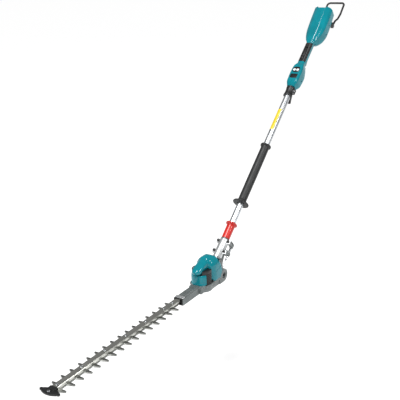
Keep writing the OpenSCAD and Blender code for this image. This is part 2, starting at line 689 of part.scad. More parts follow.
// ======================= blades =======================
tooth_root = strip_w / 2 - 1;
module right_tooth(y) polygon([
    [tooth_root, y - 11], [blade_w / 2, y - 2.2], [blade_w / 2, y + 2.2], [tooth_root, y + 4]
]);
module left_tooth(y) polygon([
    [-tooth_root, y + 4], [-blade_w / 2, y + 2.2], [-blade_w / 2, y - 2.2], [-tooth_root, y - 11]
]);
module blade_outline() difference() {
    union() {
        translate([-strip_w / 2, blade_end_y]) square([strip_w, -250 - blade_end_y]);
        translate([-10, -251]) square([20, 251 - 110]);
        for (i = [0 : tooth_count - 1]) {
            right_tooth(first_tip_y + tooth_pitch * i);
            left_tooth(first_tip_y + tooth_pitch * (i + 0.5));
        }
        for (s = [-1, 1]) translate([0, gear_y + s * window_l]) circle(r = window_r + 3.5);
        translate([-window_r - 3.5, gear_y - window_l]) square([2 * window_r + 7, 2 * window_l]);
    }
    for (s = [-1, 1]) translate([0, gear_y + s * window_l]) circle(r = window_r);
    translate([-window_r, gear_y - window_l]) square([2 * window_r, 2 * window_l]);
    for (y = bolt_places) {
        for (s = [-1, 1]) translate([0, y + s * (blade_travel + 0.2)]) circle(r = slot_r);
        translate([-slot_r, y - blade_travel - 0.2]) square([2 * slot_r, 2 * blade_travel + 0.4]);
    }
}
bolt_places = concat([for (i = [0 : bolt_count - 1]) bolt_y0 + bolt_spacing * i], [rear_bolt_y]);

module upper_blade() color("silver") on_head() translate([0, 0, upper_z])
    linear_extrude(blade_t) blade_outline();
module lower_blade() color("silver") on_head() translate([0, 0, lower_z])
    linear_extrude(blade_t) blade_outline();

module guide_bar() color("darkgray") on_head() difference() {
    union() {
    rotate([90, 0, 0]) translate([0, 0, -bar_y0]) linear_extrude(bar_y0 - bar_end_y) polygon([
        [-bar_w / 2, bar_z0], [bar_w / 2, bar_z0], [bar_w / 2, bar_top_z - 1.5],
        [bar_w / 2 - 1.5, bar_top_z], [1.5 - bar_w / 2, bar_top_z], [-bar_w / 2, bar_top_z - 1.5]
    ]);
    // tongue under the tip guard
    block([-6, 6], [tongue_end_y, bar_end_y + 1], [bar_z0, tongue_top_z]);
    }
    translate([0, tip_screw_y, -20]) cylinder(r = 2.5, h = 40);
    for (y = bolt_places) translate([0, y, -20]) cylinder(r = sleeve_r, h = 40);
}
module guide_bolts() color("silver") on_head() for (y = bolt_places)
    translate([0, y, bar_top_z]) cap_screw(sleeve_r, 4.6, 2.2, bar_top_z - lower_z + 5.5);
module guide_nuts() color("dimgray") on_head() for (y = bolt_places)
    translate([0, y, lower_z - 0.4]) mirror([0, 0, 1]) difference() {
        union() {
            cylinder(r = 8, h = 1.2);
            cylinder(r = 5.5, h = 4.6, $fn = 6);
        }
        translate([0, 0, -1]) cylinder(r = sleeve_r, h = 10);
    }

// Tip guard: a flat pointed oval over the blades' ends, with a block that meets the guide bar
module tip_guard() color("black") on_head() difference() {
    union() {
        translate([0, tip_y, bar_z0]) linear_extrude(5) {
            intersection() {
                translate([0, 37]) circle(r = 50.5, $fn = 120);
                translate([0, -37]) circle(r = 50.5, $fn = 120);
            }
            for (side = [-1, 1]) translate([30 * side, 0]) circle(r = 4.6);
        }
        block([-12, 12], [tip_y + 2, bar_end_y - 0.1], [bar_z0, bar_top_z]);
    }
    block([-6.1, 6.1], [tongue_end_y - 0.1, -800], [bar_z0 - 1, tongue_top_z]);
    translate([0, tip_screw_y, -30]) cylinder(r = 2.5, h = 60);
}
module tip_screws() color("silver") on_head() translate([0, tip_screw_y, bar_z0 + 5])
    cap_screw(2.5, 4.6, 3, 6);

pole_tube();
motor_cable();
front_grip();
warning_band();
clamp_upper();
clamp_arm();
clamp_screws();
pivot_bolt();
pivot_nut();
release_spring();
red_sleeve();
release_link();
lock_rod();
hanger_clamp();
hanger_screw();
handle_shell_left();
handle_shell_right();
shell_screws();
grip_overmould();
control_panel();
display_panel();
power_button();
reverse_button();
trigger();
trigger_pin();
lock_off_lever();
lever_pin();
trigger_switch();
controller_board();
terminal_block();
battery_rails();
wire_guard();
guard_clamps();
gear_case();
gear_case_cover();
nose_cap();
nose_seal();
lock_ring();
pivot_bushes();
motor_housing();
lower_cover();
vent_frame();
housing_screws();
stator();
rotor();
motor_shaft();
cooling_fan();
motor_bearings();
crank_gear();
crank_bearing();
upper_blade();
lower_blade();
guide_bar();
guide_bolts();
guide_nuts();
tip_guard();
tip_screws();
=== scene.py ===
import json
import math

import bmesh
import bpy
from mathutils import Matrix, Vector


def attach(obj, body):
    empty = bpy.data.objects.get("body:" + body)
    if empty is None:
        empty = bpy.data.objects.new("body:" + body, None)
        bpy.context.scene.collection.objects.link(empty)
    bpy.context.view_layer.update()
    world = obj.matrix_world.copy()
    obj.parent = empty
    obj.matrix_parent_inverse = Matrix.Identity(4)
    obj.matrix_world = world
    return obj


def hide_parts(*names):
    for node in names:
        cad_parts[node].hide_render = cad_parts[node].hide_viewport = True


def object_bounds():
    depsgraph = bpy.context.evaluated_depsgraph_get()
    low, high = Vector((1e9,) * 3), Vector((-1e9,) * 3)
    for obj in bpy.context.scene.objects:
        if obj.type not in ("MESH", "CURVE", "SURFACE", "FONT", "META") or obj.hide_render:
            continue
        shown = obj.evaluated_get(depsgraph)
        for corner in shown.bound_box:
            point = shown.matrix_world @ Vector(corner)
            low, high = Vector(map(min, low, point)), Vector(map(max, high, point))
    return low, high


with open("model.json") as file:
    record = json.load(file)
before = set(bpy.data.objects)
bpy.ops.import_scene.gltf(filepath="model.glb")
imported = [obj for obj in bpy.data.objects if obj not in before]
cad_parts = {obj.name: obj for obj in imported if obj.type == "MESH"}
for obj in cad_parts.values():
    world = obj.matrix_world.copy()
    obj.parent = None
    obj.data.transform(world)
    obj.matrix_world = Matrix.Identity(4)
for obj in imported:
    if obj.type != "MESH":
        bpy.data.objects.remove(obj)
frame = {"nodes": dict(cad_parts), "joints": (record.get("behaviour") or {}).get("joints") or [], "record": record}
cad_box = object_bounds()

NODES = frame["nodes"]
RECORD = frame["record"]
BODY_OF = {n: body for body, names in RECORD["behaviour"]["bodies"].items() for n in names}
MM = 0.001

# ---------------------------------------------------------------- frames
# The shaft rises over the level blades at this angle
TILT = math.radians(40)
COS, SIN = math.cos(TILT), math.sin(TILT)
# The pivot bolt's place, and how far it lies down the shaft from the front grip
PIVOT = Vector(next(j for j in frame["joints"] if j["name"] == "head_tilt")["pos_m"])
FORE = -(PIVOT.y * COS + PIVOT.z * SIN) / MM


def on_pole(p):
    """Millimetres across, along and above the shaft, from the middle of the front grip."""
    x, y, z = p
    return Vector((x * MM, (y * COS - z * SIN) * MM, (y * SIN + z * COS) * MM))


def on_head(p):
    """Millimetres from the pivot bolt, with the blades level."""
    return PIVOT + Vector(p) * MM


# ---------------------------------------------------------------- material helpers
def linear(hex_colour):
    """An sRGB hex colour as linear RGBA."""
    value = hex_colour.lstrip("#")
    parts = [int(value[i:i + 2], 16) / 255 for i in (0, 2, 4)]
    return [c / 12.92 if c <= 0.04045 else ((c + 0.055) / 1.055) ** 2.4 for c in parts] + [1.0]


def add(tree, kind, settings=None, values=None, links=None):
    """Adds a node to a tree with its settings, its socket constants and the outputs that feed it."""
    made = tree.nodes.new(kind)
    for key, value in (settings or {}).items():
        setattr(made, key, value)
    for key, value in (values or {}).items():
        made.inputs[key].default_value = value
    for key, source in (links or {}).items():
        tree.links.new(source, made.inputs[key])
    return made


def blank_finish(name):
    """An empty material and its tree."""
    made = bpy.data.materials.new(name)
    made.use_nodes = True
    made.node_tree.nodes.clear()
    return made, made.node_tree


# ---------------------------------------------------------------- finishes
def moulded_plastic(name, main, shade, rough, grain_mm, relief, coat=0.0, ior=1.5):
    """Injection-moulded plastic: a faint cloudiness in the dye, and the tool's fine etched grain."""
    made, tree = blank_finish(name)
    place = add(tree, "ShaderNodeTexCoord")
    cloud = add(tree, "ShaderNodeTexNoise", {}, {"Scale": 1000 / 38, "Detail": 2.0},
                {"Vector": place.outputs["Object"]})
    grain = add(tree, "ShaderNodeTexNoise", {}, {"Scale": 1000 / grain_mm, "Detail": 4.0},
                {"Vector": place.outputs["Object"]})
    dye = add(tree, "ShaderNodeMapRange", {}, {"From Min": 0.34, "From Max": 0.66},
              {"Value": cloud.outputs["Fac"]})
    colour = add(tree, "ShaderNodeMix", {"data_type": "RGBA"}, {6: linear(main), 7: linear(shade)},
                 {0: dye.outputs["Result"]})
    shine = add(tree, "ShaderNodeMapRange", {},
                {"From Min": 0.3, "From Max": 0.7, "To Min": rough - 0.05, "To Max": rough + 0.07},
                {"Value": grain.outputs["Fac"]})
    skin = add(tree, "ShaderNodeBump", {}, {"Distance": 0.08 * MM, "Strength": relief},
               {"Height": grain.outputs["Fac"]})
    shader = add(tree, "ShaderNodeBsdfPrincipled", {},
                 {"IOR": ior, "Coat Weight": coat, "Coat Roughness": 0.06},
                 {"Base Color": colour.outputs[2], "Roughness": shine.outputs["Result"],
                  "Normal": skin.outputs["Normal"]})
    add(tree, "ShaderNodeOutputMaterial", {}, {}, {"Surface": shader.outputs["BSDF"]})
    return made


def soft_rubber(name, main, shade, rough, pebble_mm, relief):
    """Moulded elastomer: nearly black, matt, with a leathery pebble pressed into it."""
    made, tree = blank_finish(name)
    place = add(tree, "ShaderNodeTexCoord")
    pebble = add(tree, "ShaderNodeTexVoronoi", {}, {"Scale": 1000 / pebble_mm},
                 {"Vector": place.outputs["Object"]})
    bloom = add(tree, "ShaderNodeTexNoise", {}, {"Scale": 1000 / 24, "Detail": 4.0},
                {"Vector": place.outputs["Object"]})
    dust = add(tree, "ShaderNodeMapRange", {}, {"From Min": 0.36, "From Max": 0.66},
               {"Value": bloom.outputs["Fac"]})
    colour = add(tree, "ShaderNodeMix", {"data_type": "RGBA"}, {6: linear(main), 7: linear(shade)},
                 {0: dust.outputs["Result"]})
    shine = add(tree, "ShaderNodeMapRange", {},
                {"From Min": 0.3, "From Max": 0.7, "To Min": rough - 0.05, "To Max": rough + 0.06},
                {"Value": bloom.outputs["Fac"]})
    skin = add(tree, "ShaderNodeBump", {}, {"Distance": 0.15 * MM, "Strength": relief},
               {"Height": pebble.outputs["Distance"]})
    shader = add(tree, "ShaderNodeBsdfPrincipled", {}, {"IOR": 1.5},
                 {"Base Color": colour.outputs[2], "Roughness": shine.outputs["Result"],
                  "Normal": skin.outputs["Normal"]})
    add(tree, "ShaderNodeOutputMaterial", {}, {}, {"Surface": shader.outputs["BSDF"]})
    return made


def drawn_metal(name, main, shade, rough, turn, line_mm, relief):
    """Metal drawn, ground or brushed one way: long fine lines that stretch the light across them."""
    made, tree = blank_finish(name)
    place = add(tree, "ShaderNodeTexCoord")
    # turned so that Y runs along the part, then squeezed 50 times along it
    along = add(tree, "ShaderNodeMapping", {}, {"Rotation": (-turn, 0, 0)},
                {"Vector": place.outputs["Object"]})
    drawn = add(tree, "ShaderNodeVectorMath", {"operation": "MULTIPLY"}, {1: (1, 0.02, 1)},
                {0: along.outputs["Vector"]})
    lines = add(tree, "ShaderNodeTexNoise", {}, {"Scale": 1000 / line_mm, "Detail": 5.0},
                {"Vector": drawn.outputs["Vector"]})
    cloud = add(tree, "ShaderNodeTexNoise", {}, {"Scale": 1000 / 30, "Detail": 3.0},
                {"Vector": place.outputs["Object"]})
    both = add(tree, "ShaderNodeMath", {"operation": "ADD"}, {},
               {0: lines.outputs["Fac"], 1: cloud.outputs["Fac"]})
    tone = add(tree, "ShaderNodeMapRange", {}, {"From Min": 0.75, "From Max": 1.25},
               {"Value": both.outputs["Value"]})
    colour = add(tree, "ShaderNodeMix", {"data_type": "RGBA"}, {6: linear(main), 7: linear(shade)},
                 {0: tone.outputs["Result"]})
    shine = add(tree, "ShaderNodeMapRange", {},
                {"From Min": 0.3, "From Max": 0.7, "To Min": rough - 0.06, "To Max": rough + 0.08},
                {"Value": lines.outputs["Fac"]})
    skin = add(tree, "ShaderNodeBump", {}, {"Distance": 0.03 * MM, "Strength": relief},
               {"Height": lines.outputs["Fac"]})
    shader = add(tree, "ShaderNodeBsdfPrincipled", {}, {"Metallic": 1.0},
                 {"Base Color": colour.outputs[2], "Roughness": shine.outputs["Result"],
                  "Normal": skin.outputs["Normal"]})
    add(tree, "ShaderNodeOutputMaterial", {}, {}, {"Surface": shader.outputs["BSDF"]})
    return made


def cast_metal(name, main, shade, edge, rough, grit_mm, relief, metallic):
    """Die-cast metal: a pebbly skin, and edges rubbed lighter by handling."""
    made, tree = blank_finish(name)
    place = add(tree, "ShaderNodeTexCoord")
    grit = add(tree, "ShaderNodeTexNoise", {}, {"Scale": 1000 / grit_mm, "Detail": 5.0},
               {"Vector": place.outputs["Object"]})
    cloud = add(tree, "ShaderNodeTexNoise", {}, {"Scale": 1000 / 26, "Detail": 3.0},
                {"Vector": place.outputs["Object"]})
    tone = add(tree, "ShaderNodeMapRange", {}, {"From Min": 0.34, "From Max": 0.66},
               {"Value": cloud.outputs["Fac"]})
    body = add(tree, "ShaderNodeMix", {"data_type": "RGBA"}, {6: linear(main), 7: linear(shade)},
               {0: tone.outputs["Result"]})
    # a bevel of 1.2 mm turns the normal only near an edge, which marks the rubbed band
    rounded = add(tree, "ShaderNodeBevel", {"samples": 4}, {"Radius": 1.2 * MM})
    flat = add(tree, "ShaderNodeNewGeometry")
    agree = add(tree, "ShaderNodeVectorMath", {"operation": "DOT_PRODUCT"}, {},
                {0: rounded.outputs["Normal"], 1: flat.outputs["Normal"]})
    rubbed = add(tree, "ShaderNodeMapRange", {},
                 {"From Min": 0.84, "From Max": 0.99, "To Min": 0.6, "To Max": 0.0},
                 {"Value": agree.outputs["Value"]})
    colour = add(tree, "ShaderNodeMix", {"data_type": "RGBA"}, {7: linear(edge)},
                 {0: rubbed.outputs["Result"], 6: body.outputs[2]})
    shine = add(tree, "ShaderNodeMapRange", {},
                {"From Min": 0.3, "From Max": 0.7, "To Min": rough - 0.06, "To Max": rough + 0.08},
                {"Value": grit.outputs["Fac"]})
    skin = add(tree, "ShaderNodeBump", {}, {"Distance": 0.14 * MM, "Strength": relief},
               {"Height": grit.outputs["Fac"]})
    shader = add(tree, "ShaderNodeBsdfPrincipled", {}, {"Metallic": metallic},
                 {"Base Color": colour.outputs[2], "Roughness": shine.outputs["Result"],
                  "Normal": skin.outputs["Normal"]})
    add(tree, "ShaderNodeOutputMaterial", {}, {}, {"Surface": shader.outputs["BSDF"]})
    return made


def wound_copper(name):
    """Enamelled wire laid in turns: amber stripes, darker and rougher in the valleys between the turns."""
    made, tree = blank_finish(name)
    place = add(tree, "ShaderNodeTexCoord")
    # wires 1.6 mm apart, drawn twice as coarse as 0.8 mm wire so that they show
    turns = add(tree, "ShaderNodeTexWave", {"bands_direction": "Z"},
                {"Scale": 1000 / (1.6 * 2 * math.pi), "Distortion": 0.6}, {"Vector": place.outputs["Object"]})
    # dark amber in the valleys between the turns, pale amber on their crowns
    colour = add(tree, "ShaderNodeMix", {"data_type": "RGBA"}, {6: linear("#6e3817"), 7: linear("#b96c38")},
                 {0: turns.outputs["Fac"]})
    shine = add(tree, "ShaderNodeMapRange", {}, {"To Min": 0.5, "To Max": 0.28},
                {"Value": turns.outputs["Fac"]})
    skin = add(tree, "ShaderNodeBump", {}, {"Distance": 0.3 * MM, "Strength": 0.6},
               {"Height": turns.outputs["Fac"]})
    shader = add(tree, "ShaderNodeBsdfPrincipled", {}, {"Metallic": 0.6},
                 {"Base Color": colour.outputs[2], "Roughness": shine.outputs["Result"],
                  "Normal": skin.outputs["Normal"]})
    add(tree, "ShaderNodeOutputMaterial", {}, {}, {"Surface": shader.outputs["BSDF"]})
    return made


# Glossy dyed ABS: blue-green housings in which soft studio light stands as clean pale patches
TEAL = moulded_plastic("Teal moulded ABS", "#007a86", "#006e79", 0.15, 0.6, 0.015, ior=1.42)
# Dyed ABS, a little softer in its shine: the sleeve the thumb and fingers draw back
RED = moulded_plastic("Red moulded ABS", "#bd1a0d", "#ae1408", 0.33, 0.6, 0.04, 0.1)
# Glass-filled nylon: black and dull, its etched grain drawn 0.9 mm wide so that it shows
NYLON = moulded_plastic("Black glass-filled nylon", "#0c0d0e", "#121314", 0.42, 0.9, 0.15)
# Smooth black ABS of the two panels: a dark mirror-like sheen
PANEL = moulded_plastic("Black polished ABS", "#07090b", "#0b0e11", 0.22, 0.5, 0.03, 0.3)
# Pale silicone-coated keys: soft and even
KEY = moulded_plastic("Pale grey silicone", "#e3e7e8", "#d8dcde", 0.42, 0.7, 0.05)
# Powder coat on bent wire and screws: black with a fine orange-peel skin, 1.2 mm across
POWDER_COAT = moulded_plastic("Black powder coat", "#08090a", "#0d0e0f", 0.3, 1.2, 0.15, 0.15)
# Yellow polyester film, left plain: slightly glossy and a touch uneven where it is pressed down
FILM = moulded_plastic("Yellow polyester film", "#d9c22c", "#ccb31c", 0.32, 3.0, 0.1, 0.2)
# Epoxy solder mask over copper
BOARD = moulded_plastic("Green solder mask", "#0f4a2a", "#0b3d22", 0.3, 0.8, 0.1, 0.3)
# Foamy elastomer sleeve: matt, with a pebble of 1 mm, so that light rolls off it in grey bands
GRIP = soft_rubber("Black pebbled elastomer", "#0f1112", "#161819", 0.52, 1.0, 0.25)
# Over-moulded elastomer of the hand grip: smoother and a little shinier than the sleeve
OVERMOULD = soft_rubber("Black smooth elastomer", "#0a0b0c", "#0f1112", 0.36, 0.8, 0.1)
# Cable sheath: plain dull PVC
CABLE = soft_rubber("Black PVC sheath", "#141414", "#1d1d1d", 0.5, 0.6, 0.1)
# Clear-anodised drawn tube: bright and satin, with its drawing lines along it
TUBE = drawn_metal("Clear anodised aluminium", "#cdd0d3", "#bfc3c7", 0.34, TILT, 0.8, 0.05)
# Ground tool steel: mid grey, with grinding lines along the blades
BLADE = drawn_metal("Ground tool steel", "#9c9d99", "#858784", 0.3, 0.0, 0.6, 0.2)
# Extruded bar with a brushed top
BAR = drawn_metal("Brushed aluminium", "#c4c4be", "#b3b4ae", 0.34, 0.0, 0.7, 0.15)
# Zinc-plated and turned steel of the screws, pins, gears and rods
STEEL = drawn_metal("Zinc-plated steel", "#c6c8ca", "#b2b5b8", 0.25, 0.0, 0.7, 0.1)
# Phosphated steel: dark and oily
DARK_STEEL = drawn_metal("Phosphated steel", "#5b5e60", "#4b4e50", 0.4, 0.0, 0.7, 0.15)
# Stacked sheet steel of the rotor
IRON = drawn_metal("Laminated rotor steel", "#6a6c6e", "#54575a", 0.45, 0.0, 0.9, 0.3)
# Bare die-cast aluminium, shot-blasted: pale, bright and softly pebbled
CASTING = cast_metal("Blasted die-cast aluminium", "#d2d4d5", "#c4c7c8", "#eceded", 0.36, 1.0, 0.15, 0.85)
# Grey lacquer over a magnesium casting: dull, and paler along its worn edges
LACQUER = cast_metal("Grey lacquered magnesium", "#6c7272", "#5d6363", "#b0b5b3", 0.36, 1.1, 0.2, 0.35)
# Sintered bronze of the bushes: brownish and porous
BRONZE = cast_metal("Sintered bronze", "#a87f3e", "#8f6a31", "#c9a25c", 0.4, 0.7, 0.2, 1.0)
# Enamelled copper windings of the stator
COPPER = wound_copper("Enamelled copper wire")

FINISHES = {
    TEAL: ["handle_shell_left", "handle_shell_right", "motor_housing", "lower_cover"],
    RED: ["red_sleeve"],
    # the vent frame is black nylon, and its black also stands as painted shade in the recess between the snout and
    # the body
    NYLON: ["hanger_clamp", "trigger", "lock_off_lever", "trigger_switch", "terminal_block",
            "guard_clamps", "vent_frame", "cooling_fan", "tip_guard"],
    PANEL: ["control_panel", "display_panel"],
    KEY: ["power_button", "reverse_button"],
    POWDER_COAT: ["clamp_screws", "shell_screws", "wire_guard", "housing_screws"],
    FILM: ["warning_band"],
    BOARD: ["controller_board"],
    GRIP: ["front_grip", "nose_seal"],
    OVERMOULD: ["grip_overmould"],
    CABLE: ["motor_cable"],
    TUBE: ["pole_tube"],
    BLADE: ["upper_blade", "lower_blade"],
    BAR: ["guide_bar"],
    STEEL: ["lock_rod", "release_spring", "hanger_screw", "trigger_pin", "lever_pin", "battery_rails",
            "lock_ring", "motor_shaft", "motor_bearings", "crank_gear", "crank_bearing",
            "guide_bolts", "tip_screws"],
    DARK_STEEL: ["pivot_bolt", "pivot_nut", "release_link", "guide_nuts"],
    IRON: ["rotor"],
    CASTING: ["clamp_upper", "nose_cap"],
    LACQUER: ["clamp_arm", "gear_case", "gear_case_cover"],
    BRONZE: ["pivot_bushes"],
    COPPER: ["stator"],
}
FINISH_OF = {name: finish for finish, names in FINISHES.items() for name in names}
for name, node in NODES.items():
    node.data.materials.clear()
    node.data.materials.append(FINISH_OF[name])


# ---------------------------------------------------------------- mesh helpers
def link(name, mesh):
    """A mesh as an object of the scene."""
    made = bpy.data.objects.new(name, mesh)
    bpy.context.scene.collection.objects.link(made)
    return made


def face_outwards(mesh):
    """Merges doubles and points every face away from the solid."""
    bm = bmesh.new()
    bm.from_mesh(mesh)
    bmesh.ops.remove_doubles(bm, verts=bm.verts, dist=0.002 * MM)
    bmesh.ops.recalc_face_normals(bm, faces=bm.faces)
    bm.to_mesh(mesh)
    bm.free()


def skin(name, rings, closed=False):
    """A solid skinned over rings of points; its ends are capped unless the rings join up."""
    count = len(rings[0])
    verts = [tuple(p) for ring in rings for p in ring]
    faces = []
    for i in range(len(rings) if closed else len(rings) - 1):
        j = (i + 1) % len(rings)
        for k in range(count):
            n = (k + 1) % count
            faces.append((i * count + k, j * count + k, j * count + n, i * count + n))
    if not closed:
        faces.append(tuple(range(count)))
        faces.append(tuple(range(len(verts) - 1, len(verts) - count - 1, -1)))
    mesh = bpy.data.meshes.new(name)
    mesh.from_pydata(verts, [], faces)
    face_outwards(mesh)
    return link(name, mesh)


def settle(obj):
    """Makes the shape that obj's modifiers show its own plain mesh."""
    bpy.context.view_layer.update()
    graph = bpy.context.evaluated_depsgraph_get()
    mesh = bpy.data.meshes.new_from_object(obj.evaluated_get(graph))
    obj.modifiers.clear()
    obj.data = mesh
    return obj


def smooth(obj, angle=35):
    """Rounds the shading over every edge gentler than the angle."""
    obj.data.shade_smooth()
    obj.data.set_sharp_from_angle(angle=math.radians(angle))
    return obj


def join_solid(obj, other, operation):
    """Cuts, keeps or adds another closed solid, which is used up."""
    made = obj.modifiers.new("solid", "BOOLEAN")
    made.operation, made.solver, made.object = operation, "EXACT", other
    settle(obj)
    bpy.data.objects.remove(other)
    return obj


def carve(obj, *cutters):
    """Cuts each of the other solids out of obj, in order."""
    for cutter in cutters:
        join_solid(obj, cutter, "DIFFERENCE")
    return obj


def round_corners(outline, radius, steps=5):
    """The outline with each corner replaced by a curve of steps + 1 points."""
    ring = []
    for i, corner in enumerate(outline):
        here = Vector(corner)
        back = Vector(outline[i - 1]) - here
        ahead = Vector(outline[(i + 1) % len(outline)]) - here
        cut = min(radius, back.length * 0.48, ahead.length * 0.48)
        first, last = here + back.normalized() * cut, here + ahead.normalized() * cut
        for k in range(steps + 1):
            t = k / steps
            ring.append(first * (1 - t) ** 2 + here * 2 * t * (1 - t) + last * t ** 2)
    return ring


def block(place, x, y, z):
    """A box between pairs of coordinates in one of the frames."""
    corners = ((x[0], y[0]), (x[1], y[0]), (x[1], y[1]), (x[0], y[1]))
    return skin("block", [[place((a, b, c)) for a, b in corners] for c in z])


def slab(name, place, x, y, z, radius, rim=0.0):
    """A flat plate with rounded corners and, where rim is given, a rounded upper edge."""
    rings = []
    levels = [(z[0], 0.0), (z[1] - rim, 0.0)] + [
        (z[1] - rim + rim * math.sin(a), rim * (1 - math.cos(a)))
        for a in (math.pi / 6, math.pi / 3, math.pi / 2) if rim]
    for level, inset in levels:
        corners = ((x[0] + inset, y[0] + inset), (x[1] - inset, y[0] + inset),
                   (x[1] - inset, y[1] - inset), (x[0] + inset, y[1] - inset))
        rings.append([place((p.x, p.y, level)) for p in round_corners(corners, radius - inset, 8)])
    return skin(name, rings)


def bar(place, centre, radius, low, high, axis, sides=64):
    """A round bar along one axis of a frame; centre gives the other two coordinates in order."""
    rings = []
    for end in (low, high):
        ring = []
        for k in range(sides):
            a = 2 * math.pi * k / sides
            p = [centre[0] + radius * math.cos(a), centre[1] + radius * math.sin(a)]
            p.insert(axis, end)
            ring.append(place(p))
        rings.append(ring)
    return skin("bar", rings)


def turned(name, outline, place, radius=2.0, sides=96):
    """A lathe-turned solid from its outline of (station, radius) corners, each eased to a radius."""
    profile = round_corners(outline, radius)
    rings = []
    for k in range(sides):
        a = 2 * math.pi * k / sides
        rings.append([place((p.y * math.cos(a), p.x, p.y * math.sin(a))) for p in profile])
    return smooth(skin(name, rings, closed=True), 40)


def eased(rows, at):
    """Rows of (station, values...) joined by curves that never overshoot a row."""
    xs = [row[0] for row in rows]
    i = max(0, min(len(xs) - 2, sum(1 for x in xs[1:-1] if x <= at)))
    h = xs[i + 1] - xs[i]
    t = (at - xs[i]) / h
    result = []
    for k in range(1, len(rows[0])):
        ys = [row[k] for row in rows]
        slopes = [(ys[j + 1] - ys[j]) / (xs[j + 1] - xs[j]) for j in range(len(xs) - 1)]
        ends = []
        for j in (i, i + 1):
            a, b = slopes[max(j - 1, 0)], slopes[min(j, len(slopes) - 1)]
            ends.append(0.0 if a * b <= 0 else 2 * a * b / (a + b))
        result.append(ys[i] * (2 * t ** 3 - 3 * t ** 2 + 1) + ys[i + 1] * (3 * t ** 2 - 2 * t ** 3)
                      + h * ends[0] * (t ** 3 - 2 * t ** 2 + t) + h * ends[1] * (t ** 3 - t ** 2))
    return result


def stand_for(obj, name):
    """obj takes its CAD node's place, body, finish and material slot."""
    obj.data.materials.clear()
    obj.data.materials.append(FINISH_OF[name])
    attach(obj, BODY_OF[name])
    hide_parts(name)
    return obj


def ease_edges(name, width_mm, segments=2, angle=30):
    """The CAD node again, with the small edge radii that moulding, casting or tumbling leaves."""
    mesh = NODES[name].data.copy()
    bm = bmesh.new()
    bm.from_mesh(mesh)
    bmesh.ops.remove_doubles(bm, verts=bm.verts, dist=0.001 * MM)
    bmesh.ops.dissolve_limit(bm, angle_limit=math.radians(0.5), verts=bm.verts, edges=bm.edges)
    bm.to_mesh(mesh)
    bm.free()
    made = link(name + "_finished", mesh)
    bevel = made.modifiers.new("edges", "BEVEL")
    bevel.width, bevel.segments = width_mm * MM, segments
    bevel.limit_method, bevel.angle_limit = "ANGLE", math.radians(angle)
    settle(made)
    return stand_for(smooth(made, 40), name)


# ---------------------------------------------------------------- geometry trees
def new_tree(name, inputs):
    """A Geometry Nodes tree with named inputs, its input node and its output node."""
    tree = bpy.data.node_groups.new(name, "GeometryNodeTree")
    tree.interface.new_socket("Geometry", in_out="INPUT", socket_type="NodeSocketGeometry")
    for label, kind in inputs:
        tree.interface.new_socket(label, in_out="INPUT", socket_type=kind)
    tree.interface.new_socket("Geometry", in_out="OUTPUT", socket_type="NodeSocketGeometry")
    return tree, add(tree, "NodeGroupInput"), add(tree, "NodeGroupOutput")


def bent_wire_tree():
    """Round wire of a given radius along a path, bent to a radius at each of its corners."""
    tree, given, result = new_tree("Bent wire", [
        ("Wire Radius", "NodeSocketFloat"), ("Bend Radius", "NodeSocketFloat"),
        ("Finish", "NodeSocketMaterial")])
    path = add(tree, "GeometryNodeMeshToCurve", {}, {}, {"Mesh": given.outputs["Geometry"]})
    bent = add(tree, "GeometryNodeFilletCurve", {"mode": "POLY"}, {"Count": 8, "Limit Radius": True},
               {"Curve": path.outputs["Curve"], "Radius": given.outputs["Bend Radius"]})
    section = add(tree, "GeometryNodeCurvePrimitiveCircle", {}, {"Resolution": 24},
                  {"Radius": given.outputs["Wire Radius"]})
    swept = add(tree, "GeometryNodeCurveToMesh", {}, {"Fill Caps": True},
                {"Curve": bent.outputs["Curve"], "Profile Curve": section.outputs["Curve"]})
    real = add(tree, "GeometryNodeRealizeInstances", {}, {}, {"Geometry": swept.outputs["Mesh"]})
    finished = add(tree, "GeometryNodeSetMaterial", {}, {},
                   {"Geometry": real.outputs["Geometry"], "Material": given.outputs["Finish"]})
    tree.links.new(finished.outputs["Geometry"], result.inputs["Geometry"])
    return tree


def coil_tree():
    """A wire coil of a given number of turns, standing on its axis."""
    tree, given, result = new_tree("Wire coil", [
        ("Turns", "NodeSocketFloat"), ("Coil Radius", "NodeSocketFloat"), ("Height", "NodeSocketFloat"),
        ("Wire Radius", "NodeSocketFloat"), ("Finish", "NodeSocketMaterial")])
    spiral = add(tree, "GeometryNodeCurveSpiral", {}, {"Resolution": 28}, {
        "Rotations": given.outputs["Turns"], "Start Radius": given.outputs["Coil Radius"],
        "End Radius": given.outputs["Coil Radius"], "Height": given.outputs["Height"]})
    section = add(tree, "GeometryNodeCurvePrimitiveCircle", {}, {"Resolution": 10},
                  {"Radius": given.outputs["Wire Radius"]})
    swept = add(tree, "GeometryNodeCurveToMesh", {}, {"Fill Caps": True},
                {"Curve": spiral.outputs["Curve"], "Profile Curve": section.outputs["Curve"]})
    real = add(tree, "GeometryNodeRealizeInstances", {}, {}, {"Geometry": swept.outputs["Mesh"]})
    finished = add(tree, "GeometryNodeSetMaterial", {}, {},
                   {"Geometry": real.outputs["Geometry"], "Material": given.outputs["Finish"]})
    tree.links.new(finished.outputs["Geometry"], result.inputs["Geometry"])
    return tree


def grow(name, tree, inputs, verts=((0, 0, 0),), edges=()):
    """Runs a tree on a few points and keeps its result as a plain mesh."""
    mesh = bpy.data.meshes.new(name)
    mesh.from_pydata([tuple(v) for v in verts], list(edges), [])
    made = link(name, mesh)
    modifier = made.modifiers.new("grow", "NODES")
    modifier.node_group = tree
    for item in tree.interface.items_tree:
        if item.in_out == "INPUT" and item.name in inputs:
            modifier[item.identifier] = inputs[item.name]
    settle(made)
    face_outwards(made.data)
    return smooth(made)


BENT_WIRE, COIL = bent_wire_tree(), coil_tree()


# ---------------------------------------------------------------- shaft
TUBE_R = 12.0
# The tube's two ends, up the shaft from the pivot bolt
TUBE_LOW, TUBE_HIGH = 42, 925


